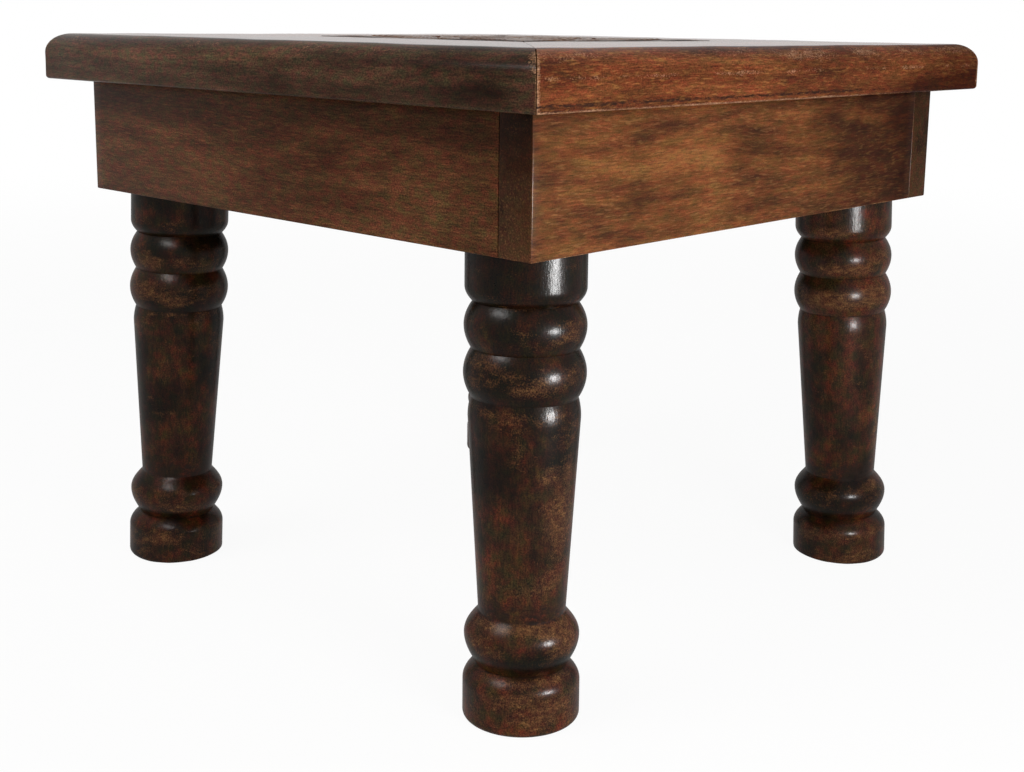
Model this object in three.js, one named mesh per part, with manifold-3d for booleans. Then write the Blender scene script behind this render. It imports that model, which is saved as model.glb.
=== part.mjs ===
// Bajot: a low square table with a mitred, round-edged top around a carved centre panel, an apron of
// four boards lapped round the corners, and four turned legs.
// Millimetres, +Z up, front towards -Y. The origin is on the floor, under the centre of the top.

import * as THREE from "three";
import { mergeVertices, toCreasedNormals } from "three/addons/utils/BufferGeometryUtils.js";
import Module from "manifold-3d";

const wasm = await Module();
wasm.setup();

// Overall size of the top, and the gaps that are left between pieces
const tableWidth = 400;
const tableDepth = 400;
const glueLine = 0.1;
const cutClearance = 0.3;
const cutOverrun = 5;

// Top frame: four mitred rails, a large round above their outer edge and a small one below
const topThickness = 27;
const railWidth = 115;
const nosingRadius = 11.5;
const lowerArris = 1.8;
const innerArris = 1;
const mitreGap = 0.4;

// Groove in the rails' inner edges, and the carved panel whose tongue sits in it
const grooveRise = 9;
const grooveHeight = 8.6;
const grooveDepth = 9;
const panelPlay = 1;
const panelReveal = 1.6;
const panelLift = 4;
const groundDrop = 1.5;

// Loose tongues that lie flat across the mitres
const splineLength = 60;
const splineWidth = 24;
const splineThickness = 4;

// Relief on the panel: a border, a ring with a rosette in it, leaf sprays in the corners, buds between
const reliefRoot = 2;
const borderWidth = 6;
const borderRise = 1.9;
const rosetteRadius = 47;
const ringWidth = 5.5;
const ringRise = 2.4;
const bossRadius = 9;
const bossRise = 3.1;
const petalCount = 8;
const petalWidth = 19;
const petalRise = 2.9;
const petalGap = 0.8;
const sprayLength = 42;
const sprayWidth = 17;
const sprayRise = 2.6;
const sideLeafLength = 31;
const sideLeafWidth = 12;
const sideLeafRise = 2.3;
const sideLeafTurn = THREE.MathUtils.degToRad(52);
const budLength = 19;
const budWidth = 11;
const budRise = 2.3;

// Shape of a carved leaf: how far its wide end lies from its middle, and how sharply its ends close
const leafTaperShare = 0.34;
const leafPointShare = 0.42;

// Apron
const overhang = 20;
const apronHeight = 66;
const apronThickness = 20;
const apronArris = 0.7;

// Turned leg, from the floor up: foot, ankle bead, shaft, shoulder, two beads and the collar. Its
// inset is measured under the apron, and its splay is its lean outwards as seen from each side.
const legInset = 35.6;
const legSplay = THREE.MathUtils.degToRad(1.6);
const footHeight = 26.4;
const footRadius = 28.75;
const footArris = 2.8;
const footShoulder = 9;
const ankleGrooveRadius = 22.6;
const ankleBeadHeight = 26.4;
const ankleBeadRadius = 28.2;
const shaftHeight = 95.8;
const shaftFootRadius = 21.4;
const shaftTopRadius = 27.2;
const shoulderHeight = 9.6;
const neckGrooveRadius = 25.8;
const lowerBeadHeight = 23.3;
const lowerBeadRadius = 29.55;
const middleGrooveRadius = 25.9;
const upperBeadHeight = 22.4;
const upperBeadRadius = 29.4;
const collarGrooveRadius = 25.3;
const collarHeight = 26.1;
const collarRadius = 29.15;
const collarRound = 7.4;

// Shape of a bead: where its crest lies between its grooves, and how full its flanks are
const beadCrestShare = 0.5;
const ankleCrestShare = 0.55;
const beadSwell = 1;
const ankleSwell = 1.25;

// Squared head of a leg, rebated so that the apron sits on the collar
const headHalf = 30;

// Cleats under the top, and the countersunk screws that hold it down
const cleatWidth = 18;
const cleatHeight = 18;
const cleatEndGap = 4;
const screwLength = 30;
const screwShankRadius = 2;
const screwHeadRadius = 4;
const screwHeadHeight = 2.6;
const screwPoint = 4;
const screwSink = 0.5;
const cleatScrewShares = [-0.36, 0.36];

// Lost-head nails in the apron, set below its face and stopped over
const nailLength = 40;
const nailShankRadius = 1.3;
const nailHeadRadius = 2;
const nailHeadHeight = 1.6;
const nailPoint = 4;
const nailSet = 2;
const cornerNailShares = [0.22, 0.78];
const legNailShares = [0.38, 0.62];

// Facet counts
const nosingSteps = 3;
const legSides = 26;
const beadSteps = 3;
const roundSteps = 3;
const ringSides = 32;
const bossSides = 16;
const leafSides = 12;
const leafRings = 8;
const fastenerSides = 8;

// Creases sharper than this stay sharp, and points closer than this are one point
const creaseAngle = THREE.MathUtils.degToRad(32);
const weldDistance = 1e-4;

// Levels above the floor
const legHeight = footHeight + ankleBeadHeight + shaftHeight + shoulderHeight
  + lowerBeadHeight + upperBeadHeight + collarHeight;
const apronBottom = legHeight + glueLine;
const apronTop = apronBottom + apronHeight;
const topBottom = apronTop + glueLine;
const topLevel = topBottom + topThickness;
const groundLevel = topLevel - groundDrop;

// A leg head runs from the apron's inner faces, nearer to the leg's axis, to the face of the blank
const headRebate = legInset - apronThickness - glueLine;
const headSide = headHalf + headRebate;

// The way down the axis of a leg at a side's left end, and what its lean has trimmed off both ends
const legAxis = new THREE.Vector3(-Math.tan(legSplay), -Math.tan(legSplay), -1).normalize();
const legLean = new THREE.Quaternion().setFromUnitVectors(new THREE.Vector3(0, 0, -1), legAxis);
const legTrim = headHalf * Math.hypot(legAxis.x, legAxis.y);

// The four sides, front, right, back and left: each is drawn as if it were the front, then turned
const quarterTurn = Math.PI / 2;
const sideNames = ["front", "right", "back", "left"];
const cornerNames = ["front_left", "front_right", "back_right", "back_left"];

function sideOf(index) {
  const alongX = index % 2 === 0;
  const halfSpan = (alongX ? tableWidth : tableDepth) / 2;
  const halfReach = (alongX ? tableDepth : tableWidth) / 2;
  return {
    name: sideNames[index],
    turn: index * quarterTurn,
    legNailShare: legNailShares[index % legNailShares.length],
    halfSpan,
    apronHalfSpan: halfSpan - overhang,
    apronInnerHalfSpan: halfSpan - overhang - apronThickness,
    halfReach,
    apronFace: -halfReach + overhang,
    apronInnerFace: -halfReach + overhang + apronThickness,
  };
}

// Finishes
const finishes = {
  top: { color: 0x66402a, roughness: 0.34, metalness: 0 },
  carving: { color: 0x553523, roughness: 0.42, metalness: 0 },
  apron: { color: 0x5c3b28, roughness: 0.42, metalness: 0 },
  leg: { color: 0x392820, roughness: 0.28, metalness: 0 },
  bareWood: { color: 0x8a6a4a, roughness: 0.75, metalness: 0 },
  steel: { color: 0x8d8f92, roughness: 0.4, metalness: 1 },
};

const table = new THREE.Group();

function addPiece(name, geometry, finish, turn = 0) {
  const mesh = new THREE.Mesh(geometry, new THREE.MeshStandardMaterial(finishes[finish]));
  mesh.name = name;
  mesh.rotation.z = turn;
  table.add(mesh);
}

// Solids for joining and cutting
function solidOf(geometry) {
  const bare = geometry.clone();
  bare.deleteAttribute("normal");
  bare.deleteAttribute("uv");
  const welded = mergeVertices(bare, weldDistance);
  return new wasm.Manifold(new wasm.Mesh({
    numProp: 3,
    vertProperties: new Float32Array(welded.attributes.position.array),
    triVerts: new Uint32Array(welded.index.array),
  }));
}

function geometryOf(solid) {
  const { vertProperties, triVerts } = solid.getMesh();
  const geometry = new THREE.BufferGeometry();
  geometry.setAttribute("position", new THREE.BufferAttribute(vertProperties, 3));
  geometry.setIndex(new THREE.BufferAttribute(triVerts, 1));
  return toCreasedNormals(geometry, creaseAngle);
}

function cut(geometry, cutters) {
  return geometryOf(cutters.reduce((solid, cutter) => solid.subtract(solidOf(cutter)), solidOf(geometry)));
}

function join(geometries) {
  return geometryOf(geometries.map(solidOf).reduce((solid, next) => solid.add(next)));
}

// A block between two corners
function block(low, high) {
  const size = high.clone().sub(low);
  const middle = low.clone().add(high).divideScalar(2);
  return new THREE.BoxGeometry(size.x, size.y, size.z).translate(middle.x, middle.y, middle.z);
}

// A turning about +Z from an outline of radii and heights
function turned(outline, sides) {
  return new THREE.LatheGeometry(outline, sides).rotateX(quarterTurn);
}

// A rail's section: x runs in from the outer edge, y up from the underside
function railSection() {
  const section = new THREE.Shape();
  const grooveTop = grooveRise + grooveHeight;
  const grooveFloor = railWidth - grooveDepth;
  section.moveTo(lowerArris, 0);
  section.lineTo(railWidth, 0);
  section.lineTo(railWidth, grooveRise);
  section.lineTo(grooveFloor, grooveRise);
  section.lineTo(grooveFloor, grooveTop);
  section.lineTo(railWidth, grooveTop);
  section.lineTo(railWidth, topThickness - innerArris);
  section.lineTo(railWidth - innerArris, topThickness);
  section.lineTo(nosingRadius, topThickness);
  section.absarc(nosingRadius, topThickness - nosingRadius, nosingRadius, quarterTurn, Math.PI);
  section.lineTo(0, lowerArris);
  section.absarc(lowerArris, lowerArris, lowerArris, Math.PI, Math.PI + quarterTurn);
  return section;
}

// A mitred rail: the section runs the length of the side, and each end is drawn in as it goes inwards
function railGeometry(side) {
  const setback = mitreGap / Math.SQRT2;
  const bar = new THREE.ExtrudeGeometry(railSection(), {
    depth: 1,
    bevelEnabled: false,
    curveSegments: nosingSteps,
  });
  const points = bar.attributes.position;
  for (let i = 0; i < points.count; i += 1) {
    const inwards = points.getX(i);
    const end = points.getZ(i) > 1 / 2 ? 1 : -1;
    points.setXYZ(
      i,
      end * (side.halfSpan - inwards - setback),
      -side.halfReach + inwards,
      topBottom + points.getY(i),
    );
  }
  return bar;
}

// A loose tongue, or the slot for one, in the mitre at one end of a side: end is -1 or 1
function splineBlock(side, end, clearance) {
  const half = new THREE.Vector3(splineLength / 2, splineWidth / 2, splineThickness / 2);
  half.addScalar(clearance);
  const middle = railWidth / 2;
  return block(half.clone().negate(), half)
    .rotateZ(-end * Math.PI / 4)
    .translate(
      end * (side.halfSpan - middle),
      -side.halfReach + middle,
      topBottom + topThickness / 2,
    );
}

// Outline of a pointed fastener along +Z, its point at the bottom and its head at the top
function nailOutline(clearance) {
  const shank = nailShankRadius + clearance;
  const head = nailHeadRadius + clearance;
  return [
    new THREE.Vector2(0, -nailLength - clearance),
    new THREE.Vector2(shank, -nailLength + nailPoint),
    new THREE.Vector2(shank, -nailHeadHeight - clearance),
    new THREE.Vector2(head, -nailHeadHeight - clearance),
    new THREE.Vector2(head, clearance),
    new THREE.Vector2(0, clearance),
  ];
}

function screwOutline(clearance, mouth) {
  const shank = screwShankRadius + clearance;
  const head = screwHeadRadius + clearance;
  return [
    new THREE.Vector2(0, -screwLength - clearance),
    new THREE.Vector2(shank, -screwLength + screwPoint),
    new THREE.Vector2(shank, -screwHeadHeight - clearance),
    new THREE.Vector2(head, -clearance),
    new THREE.Vector2(head, mouth),
    new THREE.Vector2(0, mouth),
  ];
}

// A nail driven inwards through a side's apron board at a place along it and a share of its height
function nailGeometry(side, along, heightShare, clearance) {
  return turned(nailOutline(clearance), fastenerSides)
    .rotateX(quarterTurn)
    .translate(along, side.apronFace + nailSet, apronBottom + apronHeight * heightShare);
}

// A screw driven up through a cleat into the rail above it
function screwGeometry(side, along, clearance, mouth) {
  return turned(screwOutline(clearance, mouth), fastenerSides)
    .rotateX(Math.PI)
    .translate(
      along,
      side.apronInnerFace + glueLine + cleatWidth / 2,
      apronTop - cleatHeight + screwSink,
    );
}

// Each side's nails: into the end of the board it laps, and into the leg heads at both its ends
function cornerNailPlaces(side) {
  const along = apronThickness / 2 - side.apronHalfSpan;
  return cornerNailShares.map((share) => [along, share]);
}

function legNailPlaces(side) {
  const along = side.apronInnerHalfSpan - glueLine - headSide / 2;
  return [-1, 1].map((end) => [end * along, side.legNailShare]);
}

// Holes for a side's nails, drawn in the frame of the side whose piece they cut
function nailHoles(piecesSide, side, places) {
  return places.map(([along, share]) => (
    nailGeometry(side, along, share, cutClearance).rotateZ(side.turn - piecesSide.turn)
  ));
}

// An apron board: it runs out to the corner at its left end and stops at the next board at its right
function apronGeometry(side) {
  const left = -side.apronHalfSpan;
  const right = side.apronInnerHalfSpan - glueLine;
  const outline = new THREE.Shape();
  outline.moveTo(left, 0);
  outline.lineTo(right, 0);
  outline.lineTo(right, apronHeight);
  outline.lineTo(left, apronHeight);
  return new THREE.ExtrudeGeometry(outline, {
    depth: apronThickness - apronArris * 2,
    bevelThickness: apronArris,
    bevelSize: apronArris,
    bevelOffset: -apronArris,
    bevelSegments: 1,
  })
    .rotateX(quarterTurn)
    .translate(0, side.apronInnerFace - apronArris, apronBottom);
}

// Points of a bead between two grooves, without its first: radius = groove + (crest - groove)
// (1 - u * u) ^ swell, where u runs from -1 at one groove through 0 at the crest to 1 at the other
function beadPoints(from, crestRadius, to, crestShare, swell) {
  const crest = new THREE.Vector2(crestRadius, THREE.MathUtils.lerp(from.y, to.y, crestShare));
  const points = [];
  for (let step = 1 - beadSteps; step <= beadSteps; step += 1) {
    const u = step / beadSteps;
    const groove = u < 0 ? from : to;
    const fullness = (1 - u * u) ** swell;
    points.push(new THREE.Vector2(
      THREE.MathUtils.lerp(groove.x, crest.x, fullness),
      THREE.MathUtils.lerp(crest.y, groove.y, Math.abs(u)),
    ));
  }
  return points;
}

// Points of a rounded shoulder that falls from a full radius to a groove, or rises from one, without
// its first: the same curve as half a bead
function shoulderPoints(from, to) {
  const rises = from.x < to.x;
  const [groove, full] = rises ? [from, to] : [to, from];
  const points = [];
  for (let step = 1; step <= roundSteps; step += 1) {
    const u = rises ? 1 - step / roundSteps : step / roundSteps;
    points.push(new THREE.Vector2(
      THREE.MathUtils.lerp(groove.x, full.x, 1 - u * u),
      THREE.MathUtils.lerp(full.y, groove.y, u),
    ));
  }
  return points;
}

// The leg's outline from its foot to the top of its collar, with what is trimmed off at both ends
function legOutline() {
  const ankleLevel = footHeight + ankleBeadHeight;
  const shoulderLevel = ankleLevel + shaftHeight;
  const neckLevel = shoulderLevel + shoulderHeight;
  const middleLevel = neckLevel + lowerBeadHeight;
  const collarLevel = middleLevel + upperBeadHeight;
  const footTop = new THREE.Vector2(footRadius, footHeight - footShoulder);
  const ankleGroove = new THREE.Vector2(ankleGrooveRadius, footHeight);
  const shaftFoot = new THREE.Vector2(shaftFootRadius, ankleLevel);
  const shaftTop = new THREE.Vector2(shaftTopRadius, shoulderLevel);
  const neckGroove = new THREE.Vector2(neckGrooveRadius, neckLevel);
  const middleGroove = new THREE.Vector2(middleGrooveRadius, middleLevel);
  const collarGroove = new THREE.Vector2(collarGrooveRadius, collarLevel);
  const collarFoot = new THREE.Vector2(collarRadius, collarLevel + collarRound);
  const outline = [new THREE.Vector2(0, -legTrim)];
  for (let step = 0; step <= roundSteps; step += 1) {
    const angle = quarterTurn * step / roundSteps;
    outline.push(new THREE.Vector2(
      footRadius - footArris + footArris * Math.sin(angle),
      footArris - footArris * Math.cos(angle) - legTrim,
    ));
  }
  outline.push(footTop);
  outline.push(...shoulderPoints(footTop, ankleGroove));
  outline.push(...beadPoints(ankleGroove, ankleBeadRadius, shaftFoot, ankleCrestShare, ankleSwell));
  outline.push(shaftTop);
  outline.push(...shoulderPoints(shaftTop, neckGroove));
  outline.push(...beadPoints(neckGroove, lowerBeadRadius, middleGroove, beadCrestShare, beadSwell));
  outline.push(...beadPoints(middleGroove, upperBeadRadius, collarGroove, beadCrestShare, beadSwell));
  outline.push(...shoulderPoints(collarGroove, collarFoot));
  outline.push(new THREE.Vector2(collarRadius, legHeight + legTrim));
  outline.push(new THREE.Vector2(0, legHeight + legTrim));
  return outline;
}

// The leg at a side's left end: the leaning turning, trimmed level at the floor and at the apron, the
// squared head in the apron's corner, and the wood that runs from one into the other. The nails of
// this side's left end and of the previous side's right end are driven into the head.
function legGeometry(side, previous) {
  const axisX = legInset - side.apronHalfSpan;
  const axisY = legInset + side.apronFace;
  const around = (reach, low, high) => block(
    new THREE.Vector3(axisX - reach, axisY - reach, low),
    new THREE.Vector3(axisX + reach, axisY + reach, high),
  );
  const leaning = turned(legOutline(), legSides)
    .translate(0, 0, -legHeight)
    .applyQuaternion(legLean)
    .translate(axisX, axisY, legHeight);
  const turning = cut(leaning, [
    around(headSide, -cutOverrun, 0),
    around(headSide, legHeight, legHeight + cutOverrun),
  ]);
  const core = around(headRebate / 2, legHeight - headRebate, legHeight + headRebate);
  const head = block(
    new THREE.Vector3(axisX - headRebate, axisY - headRebate, legHeight),
    new THREE.Vector3(axisX + headHalf, axisY + headHalf, apronTop),
  );
  return cut(join([turning, core, head]), [
    ...nailHoles(side, side, legNailPlaces(side).slice(0, 1)),
    ...nailHoles(side, previous, legNailPlaces(previous).slice(1)),
  ]);
}

// A leaf carved on the panel: half of an egg with closed points, lying along +X from a base point
function leafGeometry(length, width, rise) {
  const leaf = new THREE.SphereGeometry(1, leafSides, leafRings).rotateZ(quarterTurn);
  const points = leaf.attributes.position;
  for (let i = 0; i < points.count; i += 1) {
    const x = points.getX(i);
    const narrowing = (1 + leafTaperShare * x) * (1 - leafPointShare * x * x);
    points.setXYZ(
      i,
      (x + 1) * length / 2,
      points.getY(i) * narrowing * width / 2,
      points.getZ(i) * rise,
    );
  }
  return leaf;
}

// The ring moulding of the rosette: a half-round band standing on the carved ground
function ringGeometry() {
  const middle = rosetteRadius - ringWidth / 2;
  const outline = [
    new THREE.Vector2(middle - ringWidth / 2, -reliefRoot),
    new THREE.Vector2(middle + ringWidth / 2, -reliefRoot),
  ];
  for (let step = 0; step <= roundSteps * 2; step += 1) {
    const angle = Math.PI * step / (roundSteps * 2);
    outline.push(new THREE.Vector2(middle + Math.cos(angle) * ringWidth / 2, Math.sin(angle) * ringRise));
  }
  outline.push(outline[0].clone());
  return turned(outline, ringSides);
}

function bossGeometry() {
  const outline = [new THREE.Vector2(0, -reliefRoot), new THREE.Vector2(bossRadius, -reliefRoot)];
  for (let step = 0; step <= roundSteps; step += 1) {
    const angle = quarterTurn * step / roundSteps;
    outline.push(new THREE.Vector2(bossRadius * Math.cos(angle), bossRise * Math.sin(angle)));
  }
  return turned(outline, bossSides);
}

// The relief on the panel, drawn about its centre with the ground at zero
function reliefGeometries(halfX, halfY) {
  const pieces = [ringGeometry(), bossGeometry()];
  const petalBase = bossRadius + petalGap;
  const petalLength = rosetteRadius - ringWidth - petalGap - petalBase;
  for (let i = 0; i < petalCount; i += 1) {
    pieces.push(
      leafGeometry(petalLength, petalWidth, petalRise)
        .translate(petalBase, 0, 0)
        .rotateZ(i * 2 * Math.PI / petalCount),
    );
  }
  const sprayBase = rosetteRadius + petalGap;
  for (let i = 0; i < cornerNames.length; i += 1) {
    const turn = i * quarterTurn;
    const spray = [
      leafGeometry(sprayLength, sprayWidth, sprayRise),
      leafGeometry(sideLeafLength, sideLeafWidth, sideLeafRise).rotateZ(sideLeafTurn),
      leafGeometry(sideLeafLength, sideLeafWidth, sideLeafRise).rotateZ(-sideLeafTurn),
    ];
    pieces.push(...spray.map((leaf) => leaf.translate(sprayBase, 0, 0).rotateZ(turn + quarterTurn / 2)));
    pieces.push(leafGeometry(budLength, budWidth, budRise).translate(sprayBase, 0, 0).rotateZ(turn));
  }
  const border = cut(
    block(new THREE.Vector3(-halfX, -halfY, -reliefRoot), new THREE.Vector3(halfX, halfY, borderRise)),
    [block(
      new THREE.Vector3(borderWidth - halfX, borderWidth - halfY, -cutOverrun),
      new THREE.Vector3(halfX - borderWidth, halfY - borderWidth, cutOverrun),
    )],
  );
  pieces.push(border);
  return pieces;
}

// The carved panel: its board, the tongue round it and the relief
function panelGeometry() {
  const openingX = tableWidth / 2 - railWidth;
  const openingY = tableDepth / 2 - railWidth;
  const fieldX = openingX - panelReveal;
  const fieldY = openingY - panelReveal;
  const tongueX = openingX + grooveDepth - panelPlay;
  const tongueY = openingY + grooveDepth - panelPlay;
  const tongueBottom = topBottom + grooveRise + cutClearance;
  const tongueTop = topBottom + grooveRise + grooveHeight - cutClearance;
  const board = block(
    new THREE.Vector3(-fieldX, -fieldY, topBottom + panelLift),
    new THREE.Vector3(fieldX, fieldY, groundLevel),
  );
  const tongue = block(
    new THREE.Vector3(-tongueX, -tongueY, tongueBottom),
    new THREE.Vector3(tongueX, tongueY, tongueTop),
  );
  const relief = reliefGeometries(fieldX, fieldY).map((piece) => piece.translate(0, 0, groundLevel));
  return join([board, tongue, ...relief]);
}

function cleatGeometry(side) {
  const halfLength = side.apronInnerHalfSpan - glueLine - headSide - cleatEndGap;
  return block(
    new THREE.Vector3(-halfLength, side.apronInnerFace + glueLine, apronTop - cleatHeight),
    new THREE.Vector3(halfLength, side.apronInnerFace + glueLine + cleatWidth, apronTop),
  );
}

function screwPlaces(side) {
  const length = 2 * (side.apronInnerHalfSpan - headSide);
  return cleatScrewShares.map((share) => share * length);
}

// Build each side, and the corner at its left end
const sides = sideNames.map((name, index) => sideOf(index));

sides.forEach((side, index) => {
  const corner = cornerNames[index];
  const next = sides[(index + 1) % sides.length];
  const previous = sides[(index + sides.length - 1) % sides.length];
  const slots = [-1, 1].map((end) => splineBlock(side, end, cutClearance));
  const screwHoles = screwPlaces(side).map((along) => screwGeometry(side, along, cutClearance, cutOverrun));
  const boardHoles = [
    ...nailHoles(side, side, [...cornerNailPlaces(side), ...legNailPlaces(side)]),
    ...nailHoles(side, next, cornerNailPlaces(next)),
  ];
  addPiece(`top_rail_${side.name}`, cut(railGeometry(side), [...slots, ...screwHoles]), "top", side.turn);
  addPiece(`mitre_spline_${corner}`, splineBlock(side, -1, 0), "bareWood", side.turn);
  addPiece(`apron_${side.name}`, cut(apronGeometry(side), boardHoles), "apron", side.turn);
  addPiece(`leg_${corner}`, legGeometry(side, previous), "leg", side.turn);
  addPiece(`cleat_${side.name}`, cut(cleatGeometry(side), screwHoles), "bareWood", side.turn);
  screwPlaces(side).forEach((along, i) => {
    addPiece(`cleat_screw_${side.name}_${i + 1}`, screwGeometry(side, along, 0, 0), "steel", side.turn);
  });
  cornerNailPlaces(side).forEach(([along, share], i) => {
    addPiece(`corner_nail_${corner}_${i + 1}`, nailGeometry(side, along, share, 0), "steel", side.turn);
  });
  legNailPlaces(side).forEach(([along, share], i) => {
    addPiece(`leg_nail_${side.name}_${i + 1}`, nailGeometry(side, along, share, 0), "steel", side.turn);
  });
});

addPiece("carved_panel", panelGeometry(), "carving");

export default table;
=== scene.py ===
# A bajot, the low square table of an Indian home, in stained and lacquered sheesham.
# Lengths are in millimetres until makePiece turns them to metres, apart from the camera's and the
# lamps' places, which are in metres. Front is -Y and up is +Z.
import functools
import math

import bmesh
import bpy
import numpy as np
from mathutils import Matrix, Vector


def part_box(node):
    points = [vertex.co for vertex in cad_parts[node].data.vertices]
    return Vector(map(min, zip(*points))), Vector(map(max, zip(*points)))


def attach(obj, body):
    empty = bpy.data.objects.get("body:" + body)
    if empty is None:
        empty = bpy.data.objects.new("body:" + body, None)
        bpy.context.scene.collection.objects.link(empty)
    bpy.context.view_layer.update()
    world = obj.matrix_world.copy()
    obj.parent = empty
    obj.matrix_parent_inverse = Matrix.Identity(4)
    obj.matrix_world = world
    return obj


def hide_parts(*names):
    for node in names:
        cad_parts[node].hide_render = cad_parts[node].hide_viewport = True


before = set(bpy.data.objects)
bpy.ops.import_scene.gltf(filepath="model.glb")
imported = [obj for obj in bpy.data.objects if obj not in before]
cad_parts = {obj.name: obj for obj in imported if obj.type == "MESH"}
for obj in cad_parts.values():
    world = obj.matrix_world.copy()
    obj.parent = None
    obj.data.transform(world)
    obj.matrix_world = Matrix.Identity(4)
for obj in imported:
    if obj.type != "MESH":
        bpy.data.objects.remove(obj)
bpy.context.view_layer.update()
print("frame loaded:", len(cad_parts), "nodes")

scene = bpy.context.scene
mm = 0.001
sideNames = ["front", "right", "back", "left"]
cornerNames = ["front_left", "front_right", "back_right", "back_left"]


def addObject(name, data):
    made = bpy.data.objects.new(name, data)
    scene.collection.objects.link(made)
    return made


def posed(right, up, back, place):
    # the matrix of an object whose X, Y and Z axes point right, up and back
    matrix = np.eye(4)
    matrix[:3] = np.stack([right, up, back, place], -1)
    return Matrix(matrix.tolist())


# Camera: turned by yaw from +X, pitch down and roll clockwise, in degrees
camera = {
    "place": (-0.61302, -0.57759, 0.33423), "yaw": 43.353, "pitch": 9.969, "roll": 0.728,
    "lens": 48.415, "shift": -0.1211,
}


def makeCamera(s):
    yaw, pitch, roll = (math.radians(s[key]) for key in ("yaw", "pitch", "roll"))
    forward = np.array([math.cos(yaw) * math.cos(pitch), math.sin(yaw) * math.cos(pitch), -math.sin(pitch)])
    right = np.array([math.sin(yaw), -math.cos(yaw), 0])
    up = np.cross(right, forward)
    rolledRight = math.cos(roll) * right + math.sin(roll) * up
    rolledUp = math.cos(roll) * up - math.sin(roll) * right
    made = addObject("camera", bpy.data.cameras.new("camera"))
    made.matrix_world = posed(rolledRight, rolledUp, -forward, s["place"])
    made.data.lens = s["lens"]
    made.data.shift_y = s["shift"]
    scene.camera = made


makeCamera(camera)
scene.view_settings.view_transform = "Standard"
print("camera placed")


# Colours, nodes and materials
def colour(code):
    # an sRGB hex code as linear red, green, blue and alpha
    channels = np.array([int(code[i:i + 2], 16) / 255 for i in (1, 3, 5)])
    linear = np.where(channels <= 0.04045, channels / 12.92, ((channels + 0.055) / 1.055) ** 2.4)
    return (*linear.tolist(), 1.0)


def addNode(tree, kind, inputs=None, output=0, stops=None, **settings):
    # adds a node with its settings, links or values for its inputs, and the stops of a ramp;
    # gives back the output that the next node reads
    node = tree.nodes.new("ShaderNode" + kind)
    for key, value in settings.items():
        setattr(node, key, value)
    for key, value in (inputs or {}).items():
        if isinstance(value, bpy.types.NodeSocket):
            tree.links.new(value, node.inputs[key])
        else:
            node.inputs[key].default_value = value
    if stops:
        ramp = node.color_ramp
        while len(ramp.elements) < len(stops):
            ramp.elements.new(0.5)
        for element, (position, code) in zip(ramp.elements, stops):
            element.position = position
            element.color = colour(code)
    return node.outputs[output] if node.outputs else node


def emptied(owner):
    # the function that adds nodes to a material or world, whose own nodes are cleared first
    owner.use_nodes = True
    owner.node_tree.nodes.clear()
    return functools.partial(addNode, owner.node_tree)


# Floor, surroundings and lamps
room = {
    "floorRadius": 9000, "floorSides": 96, "floorColour": "#f1efec",
    "floorDrop": 0.15,  # keeps the floor just under the feet
    # how much plain white the floor shows beside the table, and how far off it turns all white, in metres
    "washNear": 0.94, "washFrom": 0.7, "washTo": 2.4,
    "ambient": 0.42, "ambientColour": "#f4f6fa",
}
# Place, aim, size and power of each lamp, and whether it gleams. The first two light the wood, and the
# last two only gleam in its lacquer, from the places that the glints on the three legs point back to.
lamps = {
    "window": ((-0.22, -0.82, 0.34), (-0.10, -0.17, 0.20), (0.34, 0.40), 4.0, False),
    "ceiling": ((-1.05, 0.35, 1.15), (-0.05, -0.05, 0.20), (1.0, 0.7), 8.5, False),
    "windowGleam": ((-0.10, -0.585, 0.185), (-0.13, -0.15, 0.17), (0.08, 0.09), 5.7, True),
    "ceilingGleam": ((-0.47, -0.02, 0.50), (-0.16, -0.05, 0.15), (0.24, 0.10), 1.6, True),
}


def whiteRays(add):
    # 1 for the rays that see the background itself or its picture in gloss and glass
    seen, glossy, passed = (add("LightPath", output="Is %s Ray" % kind)
                            for kind in ("Camera", "Glossy", "Transmission"))
    for other in (glossy, passed):
        seen = add("Math", {0: seen, 1: other}, operation="MAXIMUM")
    return seen


def aimed(place, aim):
    # the matrix of a lamp that shines from its place to its aim, with its X axis level
    back = np.subtract(place, aim)
    back = back / np.linalg.norm(back)
    level = np.cross([0, 0, 1], back)
    level = level / np.linalg.norm(level)
    return posed(level, np.cross(back, level), back, place)


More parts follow.
